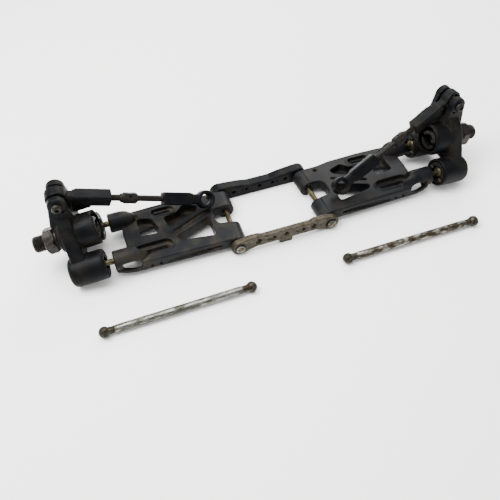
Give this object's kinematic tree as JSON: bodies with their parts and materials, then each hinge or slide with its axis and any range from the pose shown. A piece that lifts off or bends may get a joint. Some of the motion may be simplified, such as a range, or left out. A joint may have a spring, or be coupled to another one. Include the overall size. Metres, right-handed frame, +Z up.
{
  "type": "radio-controlled truck rear suspension set",
  "caption": "Rear suspension set of a model truck: lower arms on hinge-pin holders, hub carriers on pillow balls, wheel hexes, camber links and loose drive shafts.",
  "frame": {"origin": "centre of the underside of the near hinge-pin holder's middle tab, on the table", "axes": "+X along the set from left hub to right hub, +Y from the near holder to the far holder, +Z up"},
  "size_m": [0.3534, 0.1059, 0.067],
  "materials": {
    "black_nylon": "moulded, dusty",
    "steel": "zinc plated, dulled",
    "bright_steel": "bright, blotched",
    "dark_steel": "blackened",
    "worn_aluminium": "worn hard anodised"
  },
  "bodies": {
    "holders": {"near_hinge_pin_holder": "worn_aluminium", "far_hinge_pin_holder": "black_nylon", "left_inner_hinge_pin": "steel", "left_near_pin_bushing": "black_nylon", "left_far_pin_bushing": "black_nylon", "left_pin_clip": "bright_steel", "right_inner_hinge_pin": "steel", "right_near_pin_bushing": "black_nylon", "right_far_pin_bushing": "black_nylon", "right_pin_clip": "bright_steel"},
    "left_arm": {"left_lower_arm": "black_nylon", "left_droop_screw": "dark_steel", "left_near_pillow_ball": "steel", "left_far_pillow_ball": "steel"},
    "left_hub": {"left_hub_carrier": "black_nylon", "left_near_ball_cap": "dark_steel", "left_far_ball_cap": "dark_steel", "left_inner_bearing": "bright_steel", "left_outer_bearing": "bright_steel", "left_clevis_screw": "dark_steel", "left_link_ball": "steel"},
    "left_axle": {"left_drive_axle": "dark_steel", "left_hex_drive_pin": "bright_steel", "left_wheel_hex": "worn_aluminium", "left_hex_grub_screw": "dark_steel"},
    "left_camber_link": {"left_outer_rod_end": "black_nylon"},
    "left_turnbuckle_screw": {"left_turnbuckle": "dark_steel"},
    "left_link_free_end": {"left_inner_rod_end": "black_nylon"},
    "left_loose_drive_shaft": {"left_drive_shaft": "bright_steel", "left_inner_cross_pin": "dark_steel", "left_outer_cross_pin": "dark_steel"},
    "right_arm": {"right_lower_arm": "black_nylon", "right_droop_screw": "dark_steel", "right_near_pillow_ball": "steel", "right_far_pillow_ball": "steel"},
    "right_hub": {"right_hub_carrier": "black_nylon", "right_near_ball_cap": "dark_steel", "right_far_ball_cap": "dark_steel", "right_inner_bearing": "bright_steel", "right_outer_bearing": "bright_steel", "right_clevis_screw": "dark_steel", "right_link_ball": "steel"},
    "right_axle": {"right_drive_axle": "dark_steel", "right_hex_drive_pin": "bright_steel", "right_wheel_hex": "worn_aluminium", "right_hex_grub_screw": "dark_steel"},
    "right_camber_link": {"right_outer_rod_end": "black_nylon"},
    "right_turnbuckle_screw": {"right_turnbuckle": "dark_steel"},
    "right_link_free_end": {"right_inner_rod_end": "black_nylon"},
    "right_loose_drive_shaft": {"right_drive_shaft": "bright_steel", "right_inner_cross_pin": "dark_steel", "right_outer_cross_pin": "dark_steel"}
  },
  "joints": [
    {"name": "left_arm_swing", "type": "hinge", "parent": "holders", "child": "left_arm", "pos_m": [-0.03474, 0.03015, 0.0065], "axis": [0.0514, 0.9987, 0], "range_deg": [-15, 40]},
    {"name": "left_hub_tilt", "type": "hinge", "parent": "left_arm", "child": "left_hub", "pos_m": [-0.1363, 0.03015, 0.01432], "axis": [-0.1201, -0.9928, 0], "range_deg": [0, 10]},
    {"name": "left_axle_spin", "type": "hinge", "parent": "left_hub", "child": "left_axle", "pos_m": [-0.13983, 0.03058, 0.03298], "axis": [-0.9752, 0.118, -0.1874], "continuous": true},
    {"name": "left_link_swing", "type": "hinge", "parent": "left_hub", "child": "left_camber_link", "pos_m": [-0.1524, 0.04267, 0.05903], "axis": [-0.1201, -0.9928, 0], "range_deg": [0, 90]},
    {"name": "left_turnbuckle_turn", "type": "hinge", "parent": "left_camber_link", "child": "left_turnbuckle_screw", "pos_m": [-0.1524, 0.04267, 0.05903], "axis": [0.9403, -0.0199, -0.3397], "range_deg": [-722, 114]},
    {"name": "left_link_adjust", "type": "slide", "parent": "left_camber_link", "child": "left_link_free_end", "axis": [0.9403, -0.0199, -0.3397], "range_m": [-0.0032, 0.0005]},
    {"name": "left_drive_shaft_lift", "type": "slide", "parent": "holders", "child": "left_loose_drive_shaft", "axis": [0, 0, 1], "range_m": [0, 0.06]},
    {"name": "right_arm_swing", "type": "hinge", "parent": "holders", "child": "right_arm", "pos_m": [0.03474, 0.03015, 0.0065], "axis": [0.0514, -0.9987, 0], "range_deg": [-15, 40]},
    {"name": "right_hub_tilt", "type": "hinge", "parent": "right_arm", "child": "right_hub", "pos_m": [0.1363, 0.03015, 0.01432], "axis": [-0.1201, 0.9928, 0], "range_deg": [0, 10]},
    {"name": "right_axle_spin", "type": "hinge", "parent": "right_hub", "child": "right_axle", "pos_m": [0.13983, 0.03058, 0.03298], "axis": [0.9752, 0.118, -0.1874], "continuous": true},
    {"name": "right_link_swing", "type": "hinge", "parent": "right_hub", "child": "right_camber_link", "pos_m": [0.1524, 0.04267, 0.05903], "axis": [-0.1201, 0.9928, 0], "range_deg": [0, 90]},
    {"name": "right_turnbuckle_turn", "type": "hinge", "parent": "right_camber_link", "child": "right_turnbuckle_screw", "pos_m": [0.1524, 0.04267, 0.05903], "axis": [-0.9134, -0.2244, -0.3397], "range_deg": [-722, 114]},
    {"name": "right_link_adjust", "type": "slide", "parent": "right_camber_link", "child": "right_link_free_end", "axis": [-0.9134, -0.2244, -0.3397], "range_m": [-0.0032, 0.0005]},
    {"name": "right_drive_shaft_lift", "type": "slide", "parent": "holders", "child": "right_loose_drive_shaft", "axis": [0, 0, 1], "range_m": [0, 0.06]}
  ],
  "couplings": [
    {"joint": "left_turnbuckle_turn", "follows": "left_link_adjust", "rad_per_m": 3927},
    {"joint": "right_turnbuckle_turn", "follows": "right_link_adjust", "rad_per_m": 3927}
  ]
}
